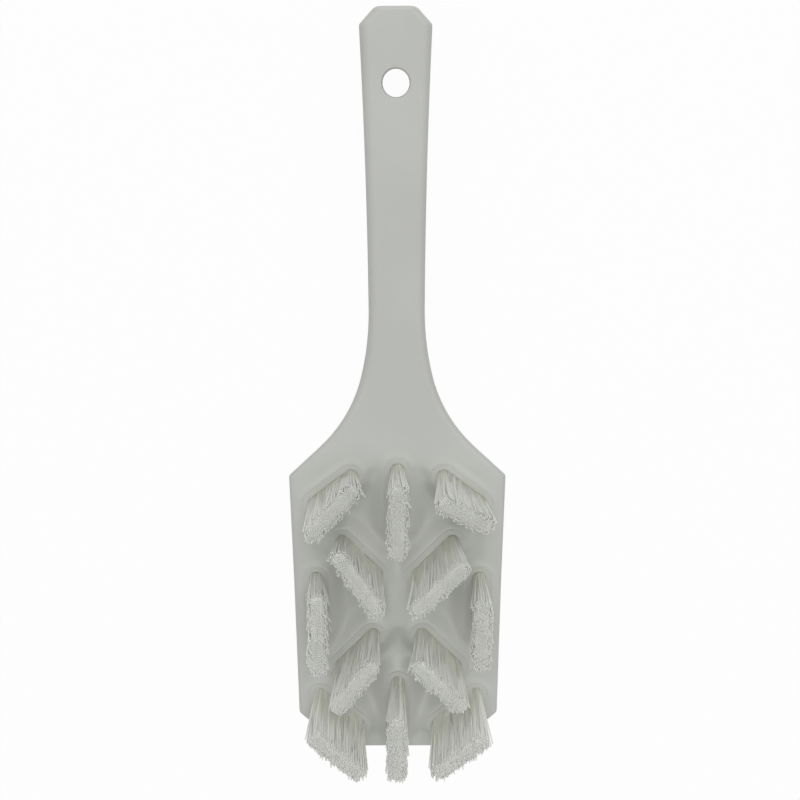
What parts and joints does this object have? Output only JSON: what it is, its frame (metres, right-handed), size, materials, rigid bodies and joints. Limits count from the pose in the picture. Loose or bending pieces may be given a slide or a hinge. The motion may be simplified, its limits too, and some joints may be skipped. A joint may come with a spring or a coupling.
{
  "type": "scrub brush",
  "caption": "Short-handled scrub brush: one-piece moulded head and handle with oblong filament tufts in raised sockets and a hanging hole.",
  "frame": {"origin": "middle of the head's flat back, which the brush rests on", "axes": "+Z from the back to the bristle tips, +Y from the head to the handle's end, +X across; alike on both sides of X = 0"},
  "size_m": [0.0748, 0.2615, 0.0425],
  "materials": {
    "body_plastic": "smooth moulded polypropylene, satin, pale grey-white",
    "socket_plastic": "smooth moulded polypropylene, satin, pale grey-white",
    "filament": "stiff polyester filaments, off-white, slightly translucent, cut tips"
  },
  "bodies": {
    "root": {"brush_body": "body_plastic", "socket_heel_corner_left": "socket_plastic", "socket_heel_corner_right": "socket_plastic", "socket_heel_centre": "socket_plastic", "socket_heel_inner_left": "socket_plastic", "socket_heel_inner_right": "socket_plastic", "socket_side_left": "socket_plastic", "socket_side_right": "socket_plastic", "socket_toe_inner_left": "socket_plastic", "socket_toe_inner_right": "socket_plastic", "socket_toe_corner_left": "socket_plastic", "socket_toe_corner_right": "socket_plastic", "socket_toe_centre": "socket_plastic", "tuft_heel_corner_left": "filament", "tuft_heel_corner_right": "filament", "tuft_heel_centre": "filament", "tuft_heel_inner_left": "filament", "tuft_heel_inner_right": "filament", "tuft_side_left": "filament", "tuft_side_right": "filament", "tuft_toe_inner_left": "filament", "tuft_toe_inner_right": "filament", "tuft_toe_corner_left": "filament", "tuft_toe_corner_right": "filament", "tuft_toe_centre": "filament"}
  },
  "joints": []
}
